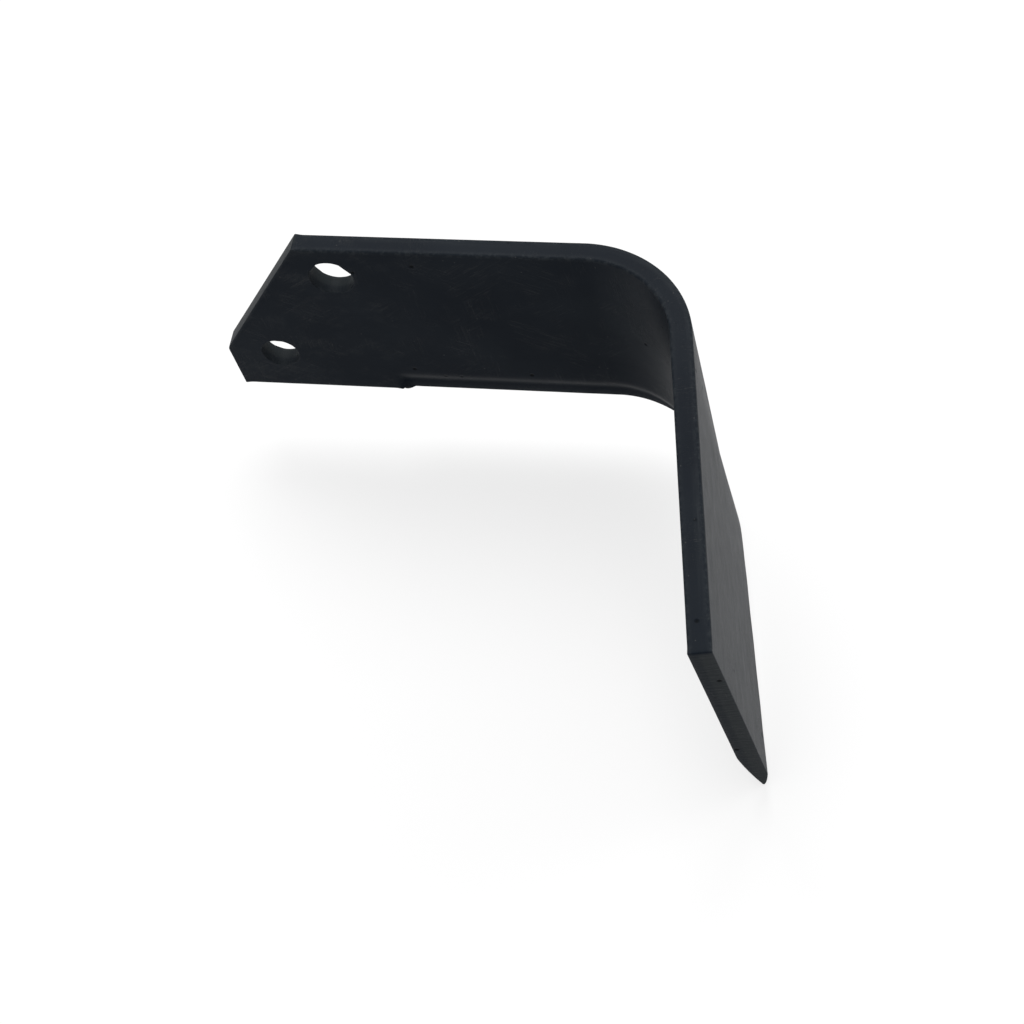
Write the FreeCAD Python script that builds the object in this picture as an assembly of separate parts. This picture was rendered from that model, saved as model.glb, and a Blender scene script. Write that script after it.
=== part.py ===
"""Rotary tiller blade: one L-shaped forging, millimetres, +Z up.

A flat bar is sheared, punched, drawn out to a cutting edge along its lower side and bent hot
into a shank and a leg.  The origin is the centre of the larger bolt hole in the seating face,
the flat back of the shank that bolts to the rotor flange.  +X runs along the shank to the bend,
+Y points out of the seating face, and the leg turns away to -Y.
"""
import FreeCAD, Part
import math
import os

# Flat bar that the blade is forged from
BAR_WIDTH = 80.0
BAR_THICKNESS = 8.0
BAR_CORNER_RADIUS = 1.0

# Bolt holes: clearance for one M16 and one M14 bolt, on a line that leans towards the heel
UPPER_HOLE_DIAMETER = 16.5
LOWER_HOLE_DIAMETER = 14.5
HOLE_PITCH = 53.7
HOLE_LINE_LEAN_DEG = 32.5
UPPER_HOLE_BELOW_TOP = 15.0
HOLE_RIM_BREAK = 0.25

# Sheared shank end: a slanted cut beside the holes, then a short heel cut down to the lower edge
SLANT_TO_HOLE_LINE = 18.1
HEEL_HEIGHT = 21.5
HEEL_LEAN_DEG = 5.5
HEEL_RADIUS = 4.0

# Hot bend between shank and leg; the bend line leans, so its top is nearer to the holes
BEND_START_X = 99.0
BEND_LINE_LEAN_DEG = 4.8
BEND_ANGLE_DEG = 82.0
BEND_INSIDE_RADIUS = 34.0

# Leg: its length beyond the bend along the top edge, its end cut, and the lean that carries its
# lower edge outwards: the bend sets the leg over within LEAN_RUN, and a twist adds the rest by
# the tip
LEG_TOP_LENGTH = 120.0
LEG_END_CUT_DEG = 1.5
LEG_LEAN_DEG = 2.8
LEAN_RUN = 12.0
LEG_TWIST_DEG = 1.7

# Cutting edge: a bevel on the inner face, forged out below the bar's own lower side.  It keeps
# one form along the shank, then hangs deeper and deeper round the bend and down to the tip.
EDGE_START_X = 16.0
BEVEL_TOP = 9.8
TIP_BEVEL_TOP = 0.0
BEVEL_CROWN = 0.4
EDGE_DROP = 6.5
TIP_EDGE_DROP = 24.0
DROP_GROWTH = 1.15
EDGE_LAND = 1.8
TIP_NOSE_ROUND = 9.0
TIP_NOSE_INSET = 1.6
SHOULDER_BLEND = 1.2

# Equal steps between the sections of each loft
BEND_STEPS = 6
LEG_STEPS = 10

LEAN_SIN = math.sin(math.radians(BEND_LINE_LEAN_DEG))
LEAN_COS = math.cos(math.radians(BEND_LINE_LEAN_DEG))
BEND_ANGLE = math.radians(BEND_ANGLE_DEG)
NEUTRAL_RADIUS = BEND_INSIDE_RADIUS + BAR_THICKNESS / 2
BEND_LENGTH = NEUTRAL_RADIUS * BEND_ANGLE
SHANK_BOTTOM_Z = UPPER_HOLE_BELOW_TOP - BAR_WIDTH
OVERSHOOT = 25.0


def station_at(bar_x, height):
    """Distance from the bend line, square to it, of a point of the flat bar."""
    return (bar_x - BEND_START_X) * LEAN_COS + height * LEAN_SIN


def lean_at(station):
    """Sideways lean of the section, as outward shift for each millimetre below the top edge."""
    beyond = max(station - BEND_LENGTH, 0.0)
    set_over = math.radians(LEG_LEAN_DEG) * (1 - math.exp(-((beyond / LEAN_RUN) ** 2)))
    return math.tan(set_over + math.radians(LEG_TWIST_DEG) * beyond / LEG_TOP_LENGTH)


def towards_tip(shank_value, tip_value, station):
    """A size of the cutting edge: steady along the shank, then changing faster to the tip."""
    share = max(station, 0.0) / (BEND_LENGTH + LEG_TOP_LENGTH)
    return shank_value + (tip_value - shank_value) * share**DROP_GROWTH


def bent(station, height, depth):
    """Place in the finished blade of a point of the bar.

    station is the distance from the bend line, height is measured up from the bar's lower
    side, and depth goes through the thickness from the inner to the outer face.
    """
    turned = min(max(station, 0.0), BEND_LENGTH) / NEUTRAL_RADIUS
    straight = max(station - BEND_LENGTH, 0.0)
    reach = NEUTRAL_RADIUS * math.sin(turned) + straight * math.cos(turned) + min(station, 0.0)
    inward = NEUTRAL_RADIUS * (1 - math.cos(turned)) + straight * math.sin(turned)
    outward = depth - BAR_THICKNESS / 2 + (BAR_WIDTH - height) * lean_at(station)
    along = reach + outward * math.sin(turned)
    up = (height - station * LEAN_SIN) / LEAN_COS
    return FreeCAD.Vector(
        BEND_START_X + along * LEAN_COS - up * LEAN_SIN,
        -BAR_THICKNESS / 2 - inward + outward * math.cos(turned),
        SHANK_BOTTOM_Z + along * LEAN_SIN + up * LEAN_COS,
    )


def bar_section(station, with_edge):
    """Closed wire across the bar: rolled corners, and below either a square side or the edge."""
    top = BAR_WIDTH
    back = BAR_THICKNESS
    corner = BAR_CORNER_RADIUS

    def line(start, end):
        return Part.makeLine(bent(station, *start), bent(station, *end))

    def curve(start, control, end):
        shape = Part.BezierCurve()
        shape.setPoles([bent(station, *start), bent(station, *control), bent(station, *end)])
        return shape.toShape()

    if with_edge:
        tip = -towards_tip(EDGE_DROP, TIP_EDGE_DROP, station)
        shoulder = towards_tip(BEVEL_TOP, TIP_BEVEL_TOP, station)
        land = EDGE_LAND + towards_tip(0, TIP_NOSE_INSET, station)
        nose_out = (tip + towards_tip(EDGE_LAND / 2, TIP_NOSE_ROUND, station), back)
        nose_control = (tip - EDGE_LAND / 2, back - land * 0.6)
        nose_in = (tip + EDGE_LAND / 2, back - land)
        slope = (back - land) / (shoulder - nose_in[0])
        shoulder_low = (shoulder - SHOULDER_BLEND, SHOULDER_BLEND * slope)
        shoulder_control = (shoulder, 0)
        shoulder_high = (shoulder + SHOULDER_BLEND, 0)
        crown = (
            (nose_in[0] + shoulder_low[0]) / 2 - 2 * BEVEL_CROWN * slope,
            (nose_in[1] + shoulder_low[1]) / 2 - 2 * BEVEL_CROWN,
        )
    else:
        nose_out = (corner, back)
        nose_control = (0, back)
        nose_in = (0, back - corner)
        shoulder_low = (0, corner)
        shoulder_control = (0, 0)
        shoulder_high = (corner, 0)
        crown = (0, back / 2)

    return Part.Wire([
        line(shoulder_high, (top - corner, 0)),
        curve((top - corner, 0), (top, 0), (top, corner)),
        line((top, corner), (top, back - corner)),
        curve((top, back - corner), (top, back), (top - corner, back)),
        line((top - corner, back), nose_out),
        curve(nose_out, nose_control, nose_in),
        curve(nose_in, crown, shoulder_low),
        curve(shoulder_low, shoulder_control, shoulder_high),
    ])


def straight_bar(start, end, with_edge):
    """Plain stretch of the shank between two stations, with flat faces."""
    face = Part.Face(bar_section(start, with_edge))
    return face.extrude(bent(end, 0, 0) - bent(start, 0, 0))


def shank():
    """Straight bar from beyond the heel to the bend line, with the edge starting part-way."""
    heel_end = station_at(-HOLE_PITCH - OVERSHOOT, 0)
    edge_start = station_at(EDGE_START_X, 0)
    return straight_bar(heel_end, edge_start, False).fuse(straight_bar(edge_start, 0, True))


def loft_along(start, length, steps):
    """Smooth loft over a stretch of the bar, with sections at equal steps."""
    sections = [bar_section(start + length * i / steps, True) for i in range(steps + 1)]
    return Part.makeLoft(sections, True, False)


def bend():
    """From the bend line to where the leg begins."""
    return loft_along(0, BEND_LENGTH, BEND_STEPS)


def leg():
    """From the bend to a little past the end cut."""
    return loft_along(BEND_LENGTH, LEG_TOP_LENGTH + OVERSHOOT, LEG_STEPS)


def prism(outline, near_y, far_y):
    """Solid between two Y planes from a closed list of edges in the XZ plane."""
    face = Part.Face(Part.Wire(outline))
    face.translate(FreeCAD.Vector(0, near_y, 0))
    return face.extrude(FreeCAD.Vector(0, far_y - near_y, 0))


def shank_end_waste():
    """What the shears take off beyond the slanted cut and the heel cut."""
    lean = math.radians(HOLE_LINE_LEAN_DEG)
    heel_lean = math.radians(HEEL_LEAN_DEG)
    slant_x_at_origin_height = -SLANT_TO_HOLE_LINE / math.cos(lean)
    heel_z = SHANK_BOTTOM_Z + HEEL_HEIGHT
    heel_x = slant_x_at_origin_height + heel_z * math.tan(lean)
    top_z = UPPER_HOLE_BELOW_TOP + OVERSHOOT
    low_z = SHANK_BOTTOM_Z - OVERSHOOT
    slant_top = FreeCAD.Vector(slant_x_at_origin_height + top_z * math.tan(lean), 0, top_z)
    heel_point = FreeCAD.Vector(heel_x, 0, heel_z)
    heel_low = FreeCAD.Vector(heel_x + (heel_z - low_z) * math.tan(heel_lean), 0, low_z)
    far_x = heel_x - 2 * OVERSHOOT

    to_top = (slant_top - heel_point).normalize()
    to_low = (heel_low - heel_point).normalize()
    half = to_top.getAngle(to_low) / 2
    setback = HEEL_RADIUS / math.tan(half)
    middle = (to_top + to_low).normalize() * (HEEL_RADIUS / math.sin(half) - HEEL_RADIUS)
    arc_top = heel_point + to_top * setback
    arc_low = heel_point + to_low * setback
    far_low = FreeCAD.Vector(far_x, 0, low_z)
    far_top = FreeCAD.Vector(far_x, 0, top_z)
    outline = [
        Part.makeLine(slant_top, arc_top),
        Part.Arc(arc_top, heel_point + middle, arc_low).toShape(),
        Part.makeLine(arc_low, heel_low),
        Part.makeLine(heel_low, far_low),
        Part.makeLine(far_low, far_top),
        Part.makeLine(far_top, slant_top),
    ]
    return prism(outline, -2 * BAR_THICKNESS, BAR_THICKNESS)


def leg_end_waste():
    """What the shears take off beyond the end of the leg, square through the thickness."""
    end_x = BEND_START_X + (BEND_LENGTH + LEG_TOP_LENGTH - BAR_WIDTH * LEAN_SIN) / LEAN_COS
    cut = math.tan(math.radians(LEG_END_CUT_DEG))
    top_station = station_at(end_x, BAR_WIDTH)
    low_station = station_at(end_x + BAR_WIDTH * cut, 0)
    middle = BAR_THICKNESS / 2
    top = bent(top_station, BAR_WIDTH, middle)
    low = bent(low_station, 0, middle)
    down = (low - top).normalize()
    through = (bent(top_station, BAR_WIDTH, BAR_THICKNESS) - top).normalize()
    beyond = through.cross(down).normalize()
    if beyond.dot(bent(top_station + 1, BAR_WIDTH, middle) - top) < 0:
        beyond = -beyond
    start = top - down * OVERSHOOT - through * OVERSHOOT
    length = down * (BAR_WIDTH + TIP_EDGE_DROP + 2 * OVERSHOOT)
    width = through * 2 * OVERSHOOT
    face = Part.Face(Part.makePolygon([start, start + length, start + length + width, start + width, start]))
    return face.extrude(beyond * 2 * OVERSHOOT)


def bolt_hole(x, z, diameter):
    """Punched hole through the shank, with both rims lightly broken."""
    radius = diameter / 2
    rim = radius + HOLE_RIM_BREAK
    out = FreeCAD.Vector(0, 1, 0)
    front = FreeCAD.Vector(x, -BAR_THICKNESS, z)
    back = FreeCAD.Vector(x, 0, z)
    bore = Part.makeCylinder(radius, BAR_THICKNESS, front, out)
    front_break = Part.makeCone(rim, radius, HOLE_RIM_BREAK, front, out)
    back_break = Part.makeCone(rim, radius, HOLE_RIM_BREAK, back, -out)
    return bore.fuse([front_break, back_break])


def blade():
    """The whole forging."""
    lean = math.radians(HOLE_LINE_LEAN_DEG)
    solid = shank().fuse([bend(), leg()])
    solid = solid.cut([shank_end_waste(), leg_end_waste()])
    solid = solid.cut([
        bolt_hole(0, 0, UPPER_HOLE_DIAMETER),
        bolt_hole(-HOLE_PITCH * math.sin(lean), -HOLE_PITCH * math.cos(lean), LOWER_HOLE_DIAMETER),
    ])
    return solid.removeSplitter()


def main():
    """Writes the blade and prints its size, so that a change of a dimension can be checked."""
    os.makedirs("parts", exist_ok=True)
    shape = blade()
    shape.exportStep("parts/blade.step")
    box = shape.BoundBox
    print("valid", shape.isValid(), "solids", len(shape.Solids), "faces", len(shape.Faces))
    print("box %.2f %.2f %.2f" % (box.XLength, box.YLength, box.ZLength), "volume %.0f" % shape.Volume)


main()
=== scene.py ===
"""Rotary tiller blade: the forging's surface, its paint and wear with a painted highlight along the arrises,
the floor, the lights and the camera.

The blade is worked out as the flat bar it was forged from: a sheared outline with two punched
holes, an inner and an outer face with their depths, and rounded arrises between them.  Every
point is then carried round the hot bend and down the leaning leg into the model's own frame.
"""
from __future__ import annotations

import logging
import math
from dataclasses import dataclass, field
from enum import Enum
from typing import Any, Mapping, Sequence, Union

import bpy
import numpy as np
from mathutils import Euler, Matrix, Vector, noise
from mathutils.geometry import delaunay_2d_cdt


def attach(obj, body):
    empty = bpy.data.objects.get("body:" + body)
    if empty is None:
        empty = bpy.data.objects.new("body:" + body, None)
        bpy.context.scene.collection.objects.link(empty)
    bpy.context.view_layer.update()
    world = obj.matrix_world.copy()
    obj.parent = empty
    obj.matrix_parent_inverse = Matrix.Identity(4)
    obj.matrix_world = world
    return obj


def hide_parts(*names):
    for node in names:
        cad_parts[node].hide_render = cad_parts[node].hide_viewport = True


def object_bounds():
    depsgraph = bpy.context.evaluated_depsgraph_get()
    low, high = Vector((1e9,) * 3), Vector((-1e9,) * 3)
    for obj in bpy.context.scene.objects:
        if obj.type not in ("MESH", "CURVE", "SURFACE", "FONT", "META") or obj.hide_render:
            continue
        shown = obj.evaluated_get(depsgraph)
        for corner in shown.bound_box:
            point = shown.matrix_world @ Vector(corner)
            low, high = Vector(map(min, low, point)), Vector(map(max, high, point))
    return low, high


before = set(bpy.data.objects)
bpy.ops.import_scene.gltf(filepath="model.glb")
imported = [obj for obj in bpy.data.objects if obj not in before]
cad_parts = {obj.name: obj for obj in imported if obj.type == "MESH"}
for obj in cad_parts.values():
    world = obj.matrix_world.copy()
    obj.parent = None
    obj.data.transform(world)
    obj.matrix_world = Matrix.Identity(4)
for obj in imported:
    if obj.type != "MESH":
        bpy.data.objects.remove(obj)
LOADED_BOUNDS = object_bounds()
MM = 0.001
LOG = logging.getLogger("tiller_blade")
Array = np.ndarray


class Side(Enum):
    """Which kind of side a stretch of the bar's outline is."""

    ROLLED = "rolled"
    SHEARED = "sheared"
    EDGE = "edge"


def smoothstep(value: Array, low: float, high: float) -> Array:
    """Soft step from 0 at low to 1 at high."""
    share = np.clip((value - low) / (high - low), 0.0, 1.0)
    return share * share * (3.0 - 2.0 * share)


def rolling_noise(x: Array, y: Array, size: float, seed: float) -> Array:
    """Soft random heights between -1 and 1.

    Args:
        x: First coordinate in millimetres.
        y: Second coordinate in millimetres.
        size: Width of one swell in millimetres.
        seed: Plane of the noise that is read.

    Returns:
        One height for each point.
    """
    flat = [noise.noise(Vector((a / size, b / size, seed))) for a, b in zip(np.ravel(x), np.ravel(y))]
    return np.array(flat).reshape(np.shape(x))


@dataclass(frozen=True)
class BarForm:
    """Sizes of the bar, its edge, its bend and its leg, in millimetres and degrees."""

    width: float = 80.0
    thickness: float = 8.0
    bottom_z: float = -65.0
    bend_start: float = 99.0
    bend_line_lean: float = 4.8
    bend_angle: float = 82.0
    bend_inside: float = 34.0
    leg_length: float = 120.0
    leg_lean: float = 2.8
    lean_run: float = 12.0
    leg_twist: float = 1.7
    edge_start: float = 16.0
    bevel_top: float = 9.8
    bevel_crown: float = 0.4
    edge_drop: float = 6.5
    tip_drop: float = 24.0
    drop_growth: float = 1.15
    land: float = 1.8
    tip_nose_round: float = 9.0
    tip_nose_inset: float = 1.6
    face_swell: float = 0.07
    edge_run_out: float = 1.6
    shoulder_softness: float = 0.02

    @property
    def lean_sin(self) -> float:
        """Sine of the bend line's lean."""
        return math.sin(math.radians(self.bend_line_lean))

    @property
    def lean_cos(self) -> float:
        """Cosine of the bend line's lean."""
        return math.cos(math.radians(self.bend_line_lean))

    @property
    def neutral(self) -> float:
        """Radius of the bend at mid thickness."""
        return self.bend_inside + self.thickness / 2

    @property
    def bend_length(self) -> float:
        """Length of the bend along mid thickness."""
        return self.neutral * math.radians(self.bend_angle)

    def station(self, x: Array, h: Array) -> Array:
        """Distance square to the bend line of points of the flat bar."""
        return (x - self.bend_start) * self.lean_cos + h * self.lean_sin

    def place_on_bar(self, station: Array, h: Array) -> Array:
        """Distance along the bar of points at a station and height."""
        return self.bend_start + (station - h * self.lean_sin) / self.lean_cos

    def lean(self, station: Array) -> Array:
        """Outward shift of the section for each millimetre below the top edge."""
        beyond = np.maximum(station - self.bend_length, 0.0)
        set_over = math.radians(self.leg_lean) * (1 - np.exp(-((beyond / self.lean_run) ** 2)))
        return np.tan(set_over + math.radians(self.leg_twist) * beyond / self.leg_length)

    def growth(self, station: Array) -> Array:
        """Share of the way from the shank's edge to the tip's edge."""
        share = np.maximum(station, 0.0) / (self.bend_length + self.leg_length)
        return share**self.drop_growth

    def nose(self, station: Array) -> tuple[Array, Array, Array, Array]:
        """The drawn-out edge at a station.

        Returns:
            Height of the nose line, height of the bevel's shoulder, width of the nose, and how
            far above the nose line the outer face starts to round in.
        """
        share = self.growth(station)
        line = -(self.edge_drop + (self.tip_drop - self.edge_drop) * share)
        shoulder = self.bevel_top * (1 - share)
        land = self.land + self.tip_nose_inset * share
        rise = self.land / 2 + (self.tip_nose_round - self.land / 2) * share
        return line, shoulder, land, rise

    def lowest(self, station: Array) -> Array:
        """Height of the lowest line of the edge."""
        line, _, _, rise = self.nose(station)
        half = self.land / 2
        bow = (rise + half) / (rise + 3 * half)
        return line + (1 - bow) ** 2 * rise - 2 * bow * (1 - bow) * half + bow**2 * half

    def started(self, station: Array) -> Array:
        """0 before the edge starts on the shank, 1 after its short run-out."""
        start = (self.edge_start - self.bend_start) * self.lean_cos
        return smoothstep(station, start - 0.2, start + self.edge_run_out)

    def swell(self, x: Array, h: Array, seed: float) -> Array:
        """Shallow unevenness of the forged skin, always into the steel."""
        slow = rolling_noise(x, h, 31.0, seed) * 0.6 + rolling_noise(x, h, 9.0, seed + 4.0) * 0.3
        return self.face_swell * (1.0 + slow + rolling_noise(x, h, 3.6, seed + 9.0) * 0.12)

    def inner_depth(self, x: Array, h: Array) -> Array:
        """Depth of the inner face, where the bevel is, below the flat of the bar."""
        station = self.station(x, h)
        line, shoulder, land, _ = self.nose(station)
        full = self.thickness - land
        reach = shoulder - (line + self.land / 2)
        share = (shoulder - h) / reach
        crown = 4 * self.bevel_crown * (1 + (full / reach) ** 2)
        raw = np.where(share > 0, full * share - crown * share * (1 - share), (full - crown) * share)
        soft = 0.5 * (raw + np.sqrt(raw * raw + self.shoulder_softness))
        return soft * self.started(station) + self.swell(x, h, 2.0)

    def outer_depth(self, x: Array, h: Array) -> Array:
        """Depth of the outer face, which rounds in above the nose towards the tip."""
        station = self.station(x, h)
        line, _, land, rise = self.nose(station)
        half = self.land / 2
        up = h - line
        bend = rise + 3 * half
        root = np.sqrt(np.maximum((rise + half) ** 2 - bend * (rise - up), 0.0))
        share = np.clip((rise + half - root) / bend, 0.0, 1.0)
        share = np.where((up < rise) & (self.started(station) > 0), share, 0.0)
        fall = 2 * share * (1 - share) * 0.6 * land + share**2 * land
        return self.thickness - fall - self.swell(x, h, 31.0)

    def bent(self, x: Array, h: Array, depth: Array) -> Array:
        """Place in the finished blade of points of the bar.

        Args:
            x: Distance along the bar.
            h: Height from the bar's lower side.
            depth: Way through the thickness from the inner to the outer face.

        Returns:
            One row of three coordinates in metres for each point.
        """
        station = self.station(x, h)
        turned = np.clip(station, 0.0, self.bend_length) / self.neutral
        straight = np.maximum(station - self.bend_length, 0.0)
        before = np.minimum(station, 0.0)
        reach = self.neutral * np.sin(turned) + straight * np.cos(turned) + before
        inward = self.neutral * (1 - np.cos(turned)) + straight * np.sin(turned)
        outward = depth - self.thickness / 2 + (self.width - h) * self.lean(station)
        along = reach + outward * np.sin(turned)
        up = (h - station * self.lean_sin) / self.lean_cos
        return MM * np.column_stack([
            self.bend_start + along * self.lean_cos - up * self.lean_sin,
            -self.thickness / 2 - inward + outward * np.cos(turned),
            self.bottom_z + along * self.lean_sin + up * self.lean_cos,
        ])


@dataclass
class Rim:
    """A closed run of points round the outline or round a hole, steel on its left."""

    points: Array
    rounding: Array
    support: Array
    sheared: Array

    def normals(self) -> Array:
        """Unit directions into the steel."""
        step = np.roll(self.points, -1, axis=0) - np.roll(self.points, 1, axis=0)
        step /= np.linalg.norm(step, axis=1)[:, None]
        return np.column_stack([-step[:, 1], step[:, 0]])

    def inset(self, amount: Array) -> Array:
        """Points of the rim moved into the steel."""
        return self.points + self.normals() * np.asarray(amount)[:, None]


@dataclass
class Corner:
    """A corner of the outline with its plan radius, and the side that leaves it."""

    x: float
    h: float
    radius: float
    side: Side

    @property
    def place(self) -> Array:
        """The corner as a pair of numbers."""
        return np.array([self.x, self.h])


@dataclass
class Forging:
    """The whole blade as one piece of steel."""

    form: BarForm = field(default_factory=BarForm)
    name: str = "forged_blade"
    upper_hole: float = 16.5
    lower_hole: float = 14.5
    hole_pitch: float = 53.7
    hole_line_lean: float = 32.5
    upper_hole_below_top: float = 15.0
    slant_to_hole_line: float = 18.1
    heel_height: float = 21.5
    heel_lean: float = 5.5
    heel_radius: float = 4.0
    end_cut: float = 1.5
    rolled_rounding: float = 1.0
    sheared_rounding: float = 0.35
    punched_rounding: float = 0.3
    corner_radius: float = 0.5
    rim_step: float = 0.9
    grid_step: float = 1.6

    def hole_centres(self) -> list[tuple[float, float, float]]:
        """Place along and across the bar and radius of both bolt holes."""
        lean = math.radians(self.hole_line_lean)
        top = self.form.width - self.upper_hole_below_top
        across = self.hole_pitch * math.sin(lean)
        down = self.hole_pitch * math.cos(lean)
        return [(0.0, top, self.upper_hole / 2), (-across, top - down, self.lower_hole / 2)]

    def corners(self) -> list[Corner]:
        """Corners of the outline, lower side first and steel on the left."""
        form = self.form
        lean = math.radians(self.hole_line_lean)
        slant_x = -self.slant_to_hole_line / math.cos(lean)
        heel_z = form.bottom_z + self.heel_height
        heel_x = slant_x + heel_z * math.tan(lean)
        low_x = heel_x + self.heel_height * math.tan(math.radians(self.heel_lean))
        top_x = slant_x + (form.width + form.bottom_z) * math.tan(lean)
        start = (form.edge_start - form.bend_start) * form.lean_cos
        step_x = float(form.place_on_bar(start, 0.0))
        low_step = float(form.lowest(np.array(start)))
        step_low_x = float(form.place_on_bar(start + 0.9, low_step))
        end_top_x = float(form.place_on_bar(form.bend_length + form.leg_length, form.width))
        cut = math.tan(math.radians(self.end_cut))
        tip_x, tip_h = end_top_x, -form.tip_drop
        for _ in range(6):
            tip_x = end_top_x + (form.width - tip_h) * cut
            tip_h = float(form.lowest(form.station(tip_x, tip_h)))
        small = self.corner_radius
        return [
            Corner(low_x, 0.0, small, Side.ROLLED),
            Corner(step_x, 0.0, small, Side.SHEARED),
            Corner(step_low_x, low_step, small, Side.EDGE),
            Corner(tip_x, tip_h, small, Side.SHEARED),
            Corner(end_top_x, form.width, small, Side.ROLLED),
            Corner(top_x, form.width, small, Side.SHEARED),
            Corner(heel_x, self.heel_height, self.heel_radius, Side.SHEARED),
        ]

    def outline(self) -> Rim:
        """Closed rim of the blank, with the drawn-out edge as its lower side."""
        corners = self.corners()
        count = len(corners)
        points: list[Array] = []
        reach: list[float] = []
        sides: list[Side] = []
        for i, corner in enumerate(corners):
            before = corners[i - 1].place - corner.place
            after = corners[(i + 1) % count].place - corner.place
            arc, setback = self.fillet(corner, before, after)
            points.extend(arc)
            reach.extend([0.0] * len(arc))
            sides.extend([corner.side] * len(arc))
            length = float(np.linalg.norm(after))
            following = corners[(i + 1) % count]
            stop = self.setback_of(following, -after, corners[(i + 2) % count].place - following.place)
            steps = max(int((length - setback - stop) / self.rim_step), 2)
            for k in range(1, steps):
                at = (setback + (length - setback - stop) * k / steps) / length
                place = corner.place + after * at
                if corner.side is Side.EDGE:
                    place = self.on_edge(place)
                points.append(place)
                reach.append(min(at, 1 - at) * length)
                sides.append(corner.side)
        away = np.array(reach)
        full = np.where([s is Side.SHEARED for s in sides], self.sheared_rounding, self.rolled_rounding)
        least = np.minimum(self.sheared_rounding, full)
        rounding = least + (full - least) * smoothstep(away, 0.0, 3.0)
        support = 0.12 + 0.5 * smoothstep(away, 0.0, 4.0)
        sheared = np.array([1.0 if s is Side.SHEARED else 0.0 for s in sides])
        return Rim(np.array(points), rounding, support, sheared)

    def on_edge(self, place: Array) -> Array:
        """Point of the edge's lowest line at the same distance along the bar."""
        h = place[1]
        for _ in range(4):
            h = float(self.form.lowest(self.form.station(place[0], h)))
        return np.array([place[0], h])

    def setback_of(self, corner: Corner, before: Array, after: Array) -> float:
        """Distance from a corner to where its fillet starts."""
        a = before / np.linalg.norm(before)
        b = after / np.linalg.norm(after)
        half = math.acos(float(np.clip(a @ b, -1.0, 1.0))) / 2
        return corner.radius / math.tan(half)

    def fillet(self, corner: Corner, before: Array, after: Array) -> tuple[list[Array], float]:
        """Arc of points round a corner.

        Args:
            corner: The corner.
            before: Way to the corner before it.
            after: Way to the corner after it.

        Returns:
            The arc's points and the distance that it uses of each side.
        """
        a = before / np.linalg.norm(before)
        b = after / np.linalg.norm(after)
        setback = self.setback_of(corner, before, after)
        half = math.acos(float(np.clip(a @ b, -1.0, 1.0))) / 2
        middle = a + b
        middle /= np.linalg.norm(middle)
        centre = corner.place + middle * corner.radius / math.sin(half)
        first = corner.place + a * setback - centre
        last = corner.place + b * setback - centre
        steps = 8 if corner.radius > 1 else 5
        turn = math.atan2(first[0] * last[1] - first[1] * last[0], float(first @ last))
        arc = []
        for k in range(steps + 1):
            angle = turn * k / steps
            c, s = math.cos(angle), math.sin(angle)
            arc.append(centre + np.array([first[0] * c - first[1] * s, first[0] * s + first[1] * c]))
        return arc, setback

    def hole_rim(self, x: float, h: float, radius: float) -> Rim:
        """Closed rim of one bolt hole."""
        count = int(2 * math.pi * radius / 0.7)
        turn = -np.arange(count) * 2 * math.pi / count
        points = np.column_stack([x + radius * np.cos(turn), h + radius * np.sin(turn)])
        same = np.ones(count)
        return Rim(points, same * self.punched_rounding, same * 0.5, same)

    def build(self) -> bpy.types.Object:
        """Makes the blade's object with its mesh and the places that the finish reads."""
        rims = [self.outline()] + [self.hole_rim(*hole) for hole in self.hole_centres()]
        skin = Skin(self.form, rims, self.hole_centres(), self.grid_step)
        mesh = skin.mesh(self.name)
        piece = bpy.data.objects.new(self.name, mesh)
        bpy.context.scene.collection.objects.link(piece)
        return piece


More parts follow.
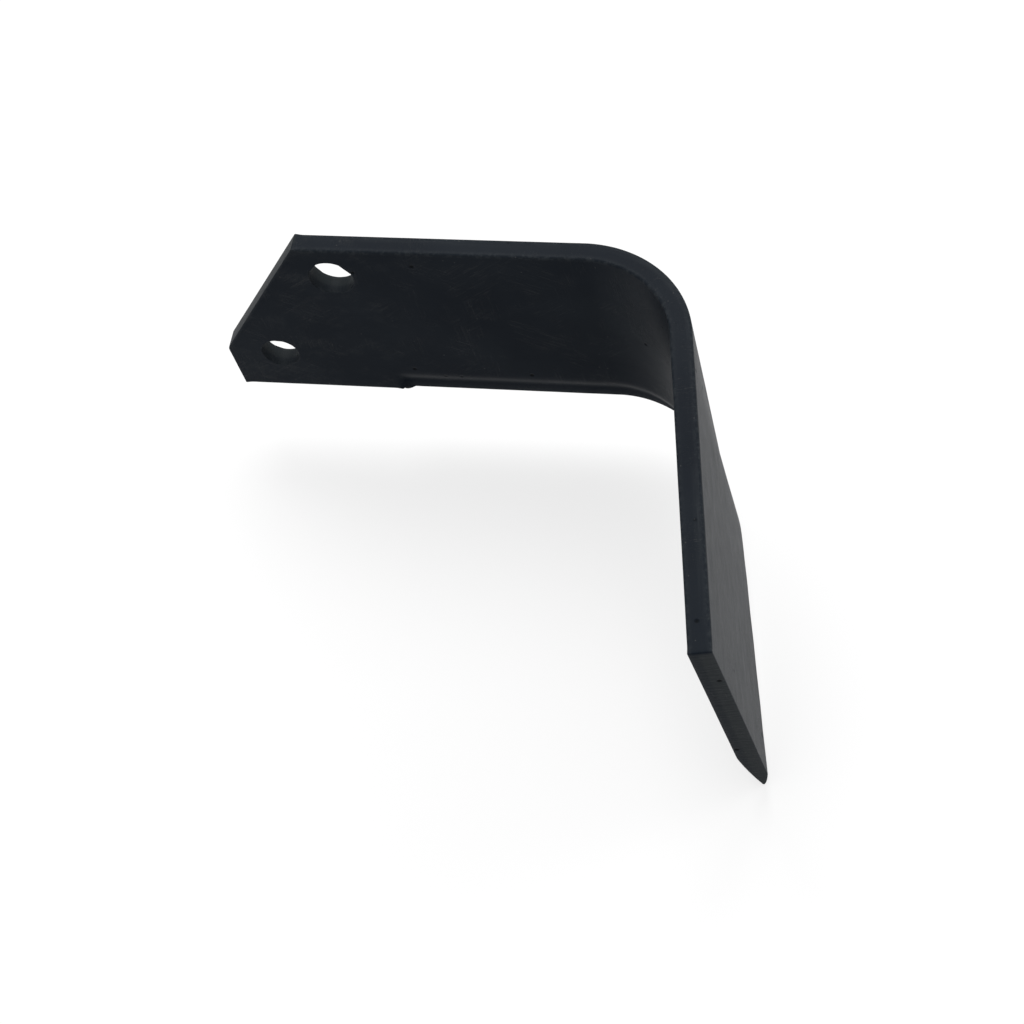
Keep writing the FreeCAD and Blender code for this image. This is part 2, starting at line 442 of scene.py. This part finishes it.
@dataclass
class Skin:
    """Triangles of both faces and the rounded walls between them."""

    form: BarForm
    rims: list[Rim]
    holes: list[tuple[float, float, float]]
    grid_step: float
    arc_steps: int = 4
    wall_steps: int = 5

    def ring_rows(self, rim: Rim) -> tuple[Array, Array, Array]:
        """Rows of points across the wall of a rim, from the inner to the outer face.

        Returns:
            Bar places (rows, points, 3), the arris mark for rubbed paint and a painted edge highlight, and
            wall share (rows, points).
        """
        rounding = rim.rounding.copy()
        for _ in range(3):
            flat = rim.inset(rounding)
            gap = self.form.outer_depth(*flat.T) - self.form.inner_depth(*flat.T)
            rounding = np.minimum(rim.rounding, np.maximum(gap, 0.3) / 2)
        flat = rim.inset(rounding)
        inner = self.form.inner_depth(*flat.T)
        outer = np.maximum(self.form.outer_depth(*flat.T), inner + 2 * rounding)
        rows, arris_wear_and_highlight, wall = [], [], []
        ring = rim.inset(rounding + rim.support)
        rows.append(np.column_stack([ring, self.form.inner_depth(*ring.T)]))
        arris_wear_and_highlight.append(0.0)
        wall.append(0.0)
        for k in range(self.arc_steps + 1):
            angle = math.pi / 2 * k / self.arc_steps
            at = rim.inset(rounding * (1 - math.sin(angle)))
            rows.append(np.column_stack([at, inner + rounding * (1 - math.cos(angle))]))
            arris_wear_and_highlight.append(1.0 if 0 < k < self.arc_steps else 0.6)
            wall.append(k / self.arc_steps)
        for k in range(1, self.wall_steps):
            share = k / self.wall_steps
            depth = (inner + rounding) * (1 - share) + (outer - rounding) * share
            rows.append(np.column_stack([rim.points, depth]))
            arris_wear_and_highlight.append(0.0)
            wall.append(1.0)
        for k in range(self.arc_steps, -1, -1):
            angle = math.pi / 2 * k / self.arc_steps
            at = rim.inset(rounding * (1 - math.sin(angle)))
            rows.append(np.column_stack([at, outer - rounding * (1 - math.cos(angle))]))
            arris_wear_and_highlight.append(1.0 if 0 < k < self.arc_steps else 0.6)
            wall.append(k / self.arc_steps)
        rows.append(np.column_stack([ring, self.form.outer_depth(*ring.T)]))
        arris_wear_and_highlight.append(0.0)
        wall.append(0.0)
        count = len(rim.points)
        return np.array(rows), np.repeat(arris_wear_and_highlight, count).reshape(-1, count), np.outer(wall, rim.sheared)

    def inside(self, points: Array, ring: Array) -> Array:
        """Whether points lie inside the closed ring."""
        x, y = points[:, 0][:, None], points[:, 1][:, None]
        ax, ay = ring[:, 0][None, :], ring[:, 1][None, :]
        bx, by = np.roll(ring[:, 0], -1)[None, :], np.roll(ring[:, 1], -1)[None, :]
        crosses = (ay > y) != (by > y)
        with np.errstate(divide="ignore", invalid="ignore"):
            at = ax + (y - ay) * (bx - ax) / (by - ay)
        return (crosses & (x < at)).sum(axis=1) % 2 == 1

    def grid(self, outline: Array, hole_rings: list[Array]) -> Array:
        """Loose points inside the outline and clear of its ring and of the holes."""
        low, high = outline.min(axis=0), outline.max(axis=0)
        step = self.grid_step
        rows = np.arange(low[1] + step / 2, high[1], step * 0.866)
        points = []
        for i, h in enumerate(rows):
            xs = np.arange(low[0] + (step / 2 if i % 2 else 0), high[0], step)
            points.append(np.column_stack([xs, np.full_like(xs, h)]))
        cloud = np.concatenate(points)
        cloud = cloud[self.inside(cloud, outline)]
        ring = np.concatenate([outline] + hole_rings)
        near = np.array([np.min(np.hypot(*(ring - p).T)) for p in cloud])
        cloud = cloud[near > step * 0.5]
        for x, h, radius in self.holes:
            cloud = cloud[np.hypot(cloud[:, 0] - x, cloud[:, 1] - h) > radius + 1.2]
        return cloud

    def mesh(self, name: str) -> bpy.types.Mesh:
        """The closed mesh of the blade, with its bar places, arrises (for rubbed paint and a painted edge
        highlight) and cut faces as attributes.
        """
        sets = [self.ring_rows(rim) for rim in self.rims]
        rings = [rows[0][:, :2] for rows, _, _ in sets]
        cloud = self.grid(rings[0], rings[1:])
        flat = np.concatenate(rings + [cloud])
        edges, offset = [], 0
        for ring in rings:
            count = len(ring)
            edges += [(offset + i, offset + (i + 1) % count) for i in range(count)]
            offset += count
        result = delaunay_2d_cdt([Vector(p) for p in flat], edges, [], 0, 1e-5)
        source = [ids[0] if ids else -1 for ids in result[3]]
        triangles = np.array([[source[i] for i in face] for face in result[2]])
        centres = flat[triangles].mean(axis=1)
        keep = self.inside(centres, rings[0]) & (triangles.min(axis=1) >= 0)
        for x, h, radius in self.holes:
            keep &= np.hypot(centres[:, 0] - x, centres[:, 1] - h) > radius
        triangles = triangles[keep]

        places = [rows.reshape(-1, 3) for rows, _, _ in sets]
        arris_wear_and_highlight = [values.ravel() for _, values, _ in sets]
        wall = [values.ravel() for _, _, values in sets]
        faces: list[tuple[int, ...]] = []
        inner_ids, outer_ids, offset = [], [], 0
        for rows, _, _ in sets:
            depth, count = rows.shape[:2]
            for r in range(depth - 1):
                for i in range(count):
                    j = (i + 1) % count
                    a, b = offset + r * count, offset + (r + 1) * count
                    faces.append((a + j, a + i, b + i, b + j))
            inner_ids += list(range(offset, offset + count))
            outer_ids += list(range(offset + (depth - 1) * count, offset + depth * count))
            offset += depth * count
        for ids, field_of in ((inner_ids, self.form.inner_depth), (outer_ids, self.form.outer_depth)):
            places.append(np.column_stack([cloud, field_of(*cloud.T)]))
            arris_wear_and_highlight.append(np.zeros(len(cloud)))
            wall.append(np.zeros(len(cloud)))
            ids += list(range(offset, offset + len(cloud)))
            offset += len(cloud)
        inner, outer = np.array(inner_ids), np.array(outer_ids)
        first, second, third = (flat[triangles[:, i]] for i in range(3))
        turn = np.cross(second - first, third - first)
        triangles[turn < 0] = triangles[turn < 0][:, ::-1]
        faces += [tuple(int(i) for i in inner[t]) for t in triangles]
        faces += [tuple(int(i) for i in outer[t[::-1]]) for t in triangles]

        bar = np.concatenate(places)
        mesh = bpy.data.meshes.new(name)
        mesh.from_pydata([tuple(p) for p in self.form.bent(*bar.T)], [], faces)
        mesh.validate()
        mesh.shade_smooth()
        self.store(mesh, "bar_place", "FLOAT_VECTOR", bar)
        self.store(mesh, "arris", "FLOAT", np.concatenate(arris_wear_and_highlight))
        self.store(mesh, "cut_face", "FLOAT", np.concatenate(wall))
        return mesh

    def store(self, mesh: bpy.types.Mesh, name: str, kind: str, values: Array) -> None:
        """Writes one attribute of the mesh's points."""
        layer = mesh.attributes.new(name, kind, "POINT")
        key = "vector" if kind == "FLOAT_VECTOR" else "value"
        layer.data.foreach_set(key, np.asarray(values, dtype=np.float32).ravel())


Number = Union[float, "Signal"]


class Signal:
    """An output socket that takes part in expressions, each adding its Math node."""

    def __init__(self, graph: "Graph", socket: bpy.types.NodeSocket) -> None:
        """Wraps a socket of a graph."""
        self.graph = graph
        self.socket = socket

    def math(self, operation: str, *values: Number) -> "Signal":
        """Adds a Math node on this and other values."""
        inputs = {i: value for i, value in enumerate(values)}
        return self.graph.add("ShaderNodeMath", {"operation": operation}, inputs).out()

    def __add__(self, other: Number) -> "Signal":
        """self + other"""
        return self.math("ADD", self, other)

    def __radd__(self, other: Number) -> "Signal":
        """other + self"""
        return self.math("ADD", other, self)

    def __sub__(self, other: Number) -> "Signal":
        """self - other"""
        return self.math("SUBTRACT", self, other)

    def __rsub__(self, other: Number) -> "Signal":
        """other - self"""
        return self.math("SUBTRACT", other, self)

    def __mul__(self, other: Number) -> "Signal":
        """self * other"""
        return self.math("MULTIPLY", self, other)

    def __rmul__(self, other: Number) -> "Signal":
        """other * self"""
        return self.math("MULTIPLY", other, self)

    def step(self, low: float, high: float) -> "Signal":
        """Soft step from 0 at low to 1 at high, or the other way round."""
        settings = {"interpolation_type": "SMOOTHSTEP", "clamp": True}
        ends = {"Value": self, "From Min": min(low, high), "From Max": max(low, high)}
        ends.update({"To Min": 0.0, "To Max": 1.0} if low < high else {"To Min": 1.0, "To Max": 0.0})
        return self.graph.add("ShaderNodeMapRange", settings, ends).out("Result")


class Made:
    """A node that was just added."""

    def __init__(self, graph: "Graph", node: bpy.types.Node) -> None:
        """Keeps the node with its graph."""
        self.graph = graph
        self.node = node

    def out(self, name: Union[str, int] = 0) -> Signal:
        """One of the node's output sockets."""
        return Signal(self.graph, self.node.outputs[name])


class Graph:
    """Node tree of one material or world."""

    def __init__(self, tree: bpy.types.NodeTree) -> None:
        """Starts from an empty tree."""
        self.tree = tree
        self.tree.nodes.clear()

    def add(self, kind: str, settings: Mapping[str, Any] | None = None,
            inputs: Mapping[Union[str, int], Any] | None = None) -> Made:
        """Adds a node.

        Args:
            kind: Blender's type name of the node.
            settings: Properties of the node, set first.
            inputs: Values or signals for its sockets.

        Returns:
            The node, ready to give its outputs.
        """
        node = self.tree.nodes.new(kind)
        for key, value in (settings or {}).items():
            setattr(node, key, value)
        for key, value in (inputs or {}).items():
            if isinstance(value, Signal):
                self.tree.links.new(value.socket, node.inputs[key])
            else:
                node.inputs[key].default_value = value
        return Made(self, node)

    def attribute(self, name: str, output: str = "Fac") -> Signal:
        """Reads an attribute of the mesh."""
        return self.add("ShaderNodeAttribute", {"attribute_name": name}).out(output)

    def stretch(self, place: Signal, by: Sequence[float], shift: Sequence[float] = (0, 0, 0)) -> Signal:
        """Scales and shifts a place before a pattern reads it."""
        return self.add("ShaderNodeVectorMath", {"operation": "MULTIPLY_ADD"},
                        {0: place, 1: tuple(by), 2: tuple(shift)}).out()

    def turned(self, place: Signal, degrees: float) -> Signal:
        """Turns a place in the plane of the bar."""
        settings = {"rotation_type": "Z_AXIS"}
        inputs = {"Vector": place, "Angle": math.radians(degrees)}
        return self.add("ShaderNodeVectorRotate", settings, inputs).out()

    def mottle(self, place: Signal, scale: float, detail: float = 2.0, rough: float = 0.5) -> Signal:
        """Soft noise round 0.5."""
        inputs = {"Vector": place, "Scale": scale, "Detail": detail, "Roughness": rough}
        return self.add("ShaderNodeTexNoise", {"noise_dimensions": "3D"}, inputs).out("Fac")

    def spots(self, place: Signal, scale: float, rough: float = 1.0) -> Made:
        """Voronoi cells for pits and specks."""
        inputs = {"Vector": place, "Scale": scale, "Randomness": rough}
        return self.add("ShaderNodeTexVoronoi", {"feature": "F1"}, inputs)

    def tint(self, factor: Number, first: Any, second: Any) -> Signal:
        """Mixes two colours."""
        inputs = {"Factor": factor, "A": first, "B": second}
        made = self.add("ShaderNodeMix", {"data_type": "RGBA"})
        for key, value in inputs.items():
            kind = "VALUE" if key == "Factor" else "RGBA"
            socket = next(s for s in made.node.inputs if s.name == key and s.type == kind)
            if isinstance(value, Signal):
                self.tree.links.new(value.socket, socket)
            else:
                socket.default_value = value
        return Signal(self, next(s for s in made.node.outputs if s.type == "RGBA"))


@dataclass(frozen=True)
class ForgeBlack:
    """Thin satin bluish-black paint over a forged skin, rubbed at the arrises, with a painted highlight along
    every arris.
    """

    name: str = "forge_black"
    paint: tuple[float, float, float, float] = (0.0030, 0.0052, 0.0090, 1.0)
    thin_paint: tuple[float, float, float, float] = (0.0072, 0.0102, 0.0144, 1.0)
    # Bare steel where the paint is rubbed; also the colour of the painted highlight along every arris.
    rubbed_and_edge_highlight: tuple[float, float, float, float] = (0.045, 0.050, 0.053, 1.0)
    dust: tuple[float, float, float, float] = (0.060, 0.060, 0.058, 1.0)
    pit: tuple[float, float, float, float] = (0.0030, 0.0036, 0.0042, 1.0)
    sheared: tuple[float, float, float, float] = (0.0150, 0.0180, 0.0200, 1.0)
    roughness: float = 0.40
    gloss_level: float = 0.035

    def make(self) -> bpy.types.Material:
        """Builds the material."""
        material = bpy.data.materials.new(self.name)
        material.use_nodes = True
        g = Graph(material.node_tree)
        place = g.attribute("bar_place", "Vector")
        split = g.add("ShaderNodeSeparateXYZ", None, {0: place})
        x, h, depth = split.out(0), split.out(1), split.out(2)
        arris, cut = g.attribute("arris"), g.attribute("cut_face")
        outer = depth.step(4.0, 6.0) * (1.0 - cut)
        ground = h.step(9.0, 3.0) * depth.step(7.6, 6.4) * x.step(14.0, 18.0) * (1.0 - cut)

        cloudy = g.mottle(g.stretch(place, (0.022, 0.030, 0.02)), 1.0, 3.0)
        patchy = g.mottle(g.stretch(place, (0.11, 0.16, 0.11), (7, 3, 1)), 1.0, 4.0, 0.6)
        grain = g.mottle(g.stretch(place, (1.3, 1.3, 1.3)), 1.0, 3.0, 0.6)
        streaks = g.mottle(g.stretch(place, (0.020, 0.95, 0.3), (2, 5, 0)), 1.0, 4.0, 0.65)
        fine_streaks = g.mottle(g.stretch(place, (0.035, 3.2, 0.6), (9, 2, 4)), 1.0, 2.0, 0.6)

        cells = g.spots(g.stretch(place, (0.085, 0.085, 0.085)), 1.0)
        cell_pick = g.add("ShaderNodeSeparateXYZ", None, {0: cells.out("Color")})
        pits = cells.out("Distance").step(0.10, 0.03) * cell_pick.out(0).step(0.30, 0.36)
        specks_cells = g.spots(g.stretch(place, (0.26, 0.26, 0.26), (3, 8, 2)), 1.0)
        speck_pick = g.add("ShaderNodeSeparateXYZ", None, {0: specks_cells.out("Color")})
        specks = specks_cells.out("Distance").step(0.085, 0.04) * speck_pick.out(1).step(0.66, 0.72)

        scratches = self.scratches(g, place, 24.0, 5.0) + self.scratches(g, place, -38.0, 11.0)
        scratches = scratches + self.scratches(g, place, 83.0, 17.0)

        chips = g.mottle(g.stretch(place, (0.55, 0.55, 0.55), (4, 1, 6)), 1.0, 4.0, 0.7)
        worn_edge = arris * chips.step(0.46, 0.60)
        bolted = x.step(34.0, 6.0) * patchy.step(0.50, 0.68) * grain.step(0.35, 0.6)

        tone = cloudy.step(0.25, 0.75)
        colour = g.tint(tone * 0.75 + patchy * 0.25, self.paint, self.thin_paint)
        colour = g.tint((streaks.step(0.45, 0.72) * 0.16 + fine_streaks.step(0.55, 0.75) * 0.10) * outer,
                        colour, self.rubbed_and_edge_highlight)
        colour = g.tint(bolted * 0.10, colour, self.dust)
        colour = g.tint(cut * (0.35 + depth.step(2.6, 4.2) * 0.55), colour, self.sheared)
        # Rubbed paint where the chips mask hits an arris, plus a painted highlight: every arris is lightened
        # a little (arris * 0.10).
        colour = g.tint(worn_edge * 0.22 + arris * 0.10, colour, self.rubbed_and_edge_highlight)
        colour = g.tint(scratches * 0.22, colour, self.dust)
        colour = g.tint(specks * 0.5, colour, self.dust)
        colour = g.tint(pits * 0.9, colour, self.pit)

        rough = self.roughness + (grain - 0.5) * 0.10 + (streaks - 0.5) * 0.16 * outer
        rough = rough + (patchy - 0.5) * 0.10 + worn_edge * 0.08 + cut * 0.10 + pits * 0.3 + ground * 0.50

        height = grain * 0.10 + patchy * 0.35 + (streaks * 0.30 + fine_streaks * 0.08) * outer
        height = height + fine_streaks * 0.05 - pits * 1.1 + specks * 0.2 - scratches * 0.08
        shear_marks = g.mottle(g.stretch(place, (0.9, 0.9, 0.12), (1, 1, 1)), 1.0, 3.0, 0.6)
        height = height + shear_marks * cut * 0.9
        bump = g.add("ShaderNodeBump", None, {"Height": height, "Distance": 0.00025, "Strength": 0.7})

        shader = g.add("ShaderNodeBsdfPrincipled", None, {
            "Base Color": colour,
            "Roughness": rough,
            "Normal": bump.out(),
            "Specular IOR Level": self.gloss_level,
        })
        g.add("ShaderNodeOutputMaterial", None, {"Surface": shader.out()})
        return material

    def scratches(self, g: Graph, place: Signal, degrees: float, seed: float) -> Signal:
        """Thin broken lines in one direction.

        Args:
            g: Graph that takes the nodes.
            place: Bar place.
            degrees: Direction of the lines from the bar's length.
            seed: Part of the pattern that is read.

        Returns:
            1 on a line and 0 beside it.
        """
        turned = g.turned(place, degrees)
        line = g.mottle(g.stretch(turned, (0.035, 1.9, 0.2), (seed, seed, 0)), 1.0, 1.0)
        gate = g.mottle(g.stretch(place, (0.05, 0.05, 0.05), (seed, 0, seed)), 1.0, 2.0)
        off_line = line - 0.5
        return off_line.math("ABSOLUTE", off_line).step(0.010, 0.003) * gate.step(0.52, 0.62)


@dataclass(frozen=True)
class PaleFloor:
    """Plain white floor under the blade, which keeps a soft shadow."""

    name: str = "floor"
    colour: tuple[float, float, float, float] = (0.80, 0.80, 0.80, 1.0)
    shadow_kept: float = 0.30
    half_size: float = 6.0

    def build(self, height: float) -> bpy.types.Object:
        """Makes the floor at a height in metres."""
        s = self.half_size
        mesh = bpy.data.meshes.new(self.name)
        corners = [(-s, -s, height), (s, -s, height), (s, s, height), (-s, s, height)]
        mesh.from_pydata(corners, [], [(0, 1, 2, 3)])
        floor = bpy.data.objects.new(self.name, mesh)
        bpy.context.scene.collection.objects.link(floor)
        material = bpy.data.materials.new(self.name)
        material.use_nodes = True
        g = Graph(material.node_tree)
        path = g.add("ShaderNodeLightPath")
        seen = path.out("Is Camera Ray").math("MAXIMUM", path.out("Is Camera Ray"), path.out("Is Glossy Ray"))
        seen = seen.math("MAXIMUM", seen, path.out("Is Transmission Ray"))
        lit = g.add("ShaderNodeBsdfDiffuse", None, {"Color": self.colour})
        white = g.add("ShaderNodeEmission", None, {"Color": (1, 1, 1, 1), "Strength": 1.0})
        share = seen * (1.0 - self.shadow_kept)
        mixed = g.add("ShaderNodeMixShader", None, {0: share, 1: lit.out(), 2: white.out()})
        g.add("ShaderNodeOutputMaterial", None, {"Surface": mixed.out()})
        mesh.materials.append(material)
        return floor


@dataclass(frozen=True)
class Lamp:
    """One soft area lamp that looks at the blade."""

    name: str
    place: tuple[float, float, float]
    target: tuple[float, float, float]
    size: float
    watts: float

    def build(self) -> bpy.types.Object:
        """Makes the lamp."""
        data = bpy.data.lights.new(self.name, "AREA")
        data.shape = "DISK"
        data.size = self.size
        data.energy = self.watts
        lamp = bpy.data.objects.new(self.name, data)
        lamp.location = self.place
        way = Vector(self.target) - Vector(self.place)
        lamp.rotation_euler = way.to_track_quat("-Z", "Y").to_euler()
        bpy.context.scene.collection.objects.link(lamp)
        return lamp


@dataclass(frozen=True)
class Studio:
    """World, lamps and camera."""

    sky_strength: float = 0.85
    camera_place: tuple[float, float, float] = (0.20729, -0.47805, 0.57149)
    camera_turn: tuple[float, float, float] = (34.002, 7.065, 8.376)
    lens: float = 74.3

    def lamps(self) -> list[Lamp]:
        """The lamps of the studio."""
        return [
            Lamp("key_lamp", (-0.15, 0.65, 1.2), (0.06, -0.04, -0.03), 0.9, 14.0),
            Lamp("side_lamp", (1.2, 0.5, 0.8), (0.12, -0.06, -0.03), 0.8, 5.0),
        ]

    def build(self) -> None:
        """Sets the world, the lamps, the camera and the view."""
        scene = bpy.context.scene
        world = bpy.data.worlds.new("studio_sky")
        world.use_nodes = True
        scene.world = world
        g = Graph(world.node_tree)
        sky = g.add("ShaderNodeBackground", None, {"Color": (1, 1, 1, 1), "Strength": self.sky_strength})
        g.add("ShaderNodeOutputWorld", None, {"Surface": sky.out()})
        for lamp in self.lamps():
            lamp.build()
        data = bpy.data.cameras.new("camera")
        data.lens = self.lens
        data.sensor_width = 36.0
        data.clip_start = 0.01
        data.clip_end = 50.0
        camera = bpy.data.objects.new("camera", data)
        camera.location = self.camera_place
        camera.rotation_euler = Euler([math.radians(a) for a in self.camera_turn], "XYZ")
        scene.collection.objects.link(camera)
        scene.camera = camera
        scene.view_settings.view_transform = "Standard"


def main() -> None:
    """Builds the studio, the floor and the blade, and reports the piece."""
    logging.basicConfig(level=logging.INFO, format="%(name)s: %(message)s")
    Studio().build()
    PaleFloor().build(float(LOADED_BOUNDS[0][2]))
    forging = Forging()
    blade = forging.build()
    blade.data.materials.append(ForgeBlack().make())
    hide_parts("blade")
    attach(blade, "root")
    LOG.info("%s: %d faces", blade.name, len(blade.data.polygons))


if __name__ == "__main__":
    main()
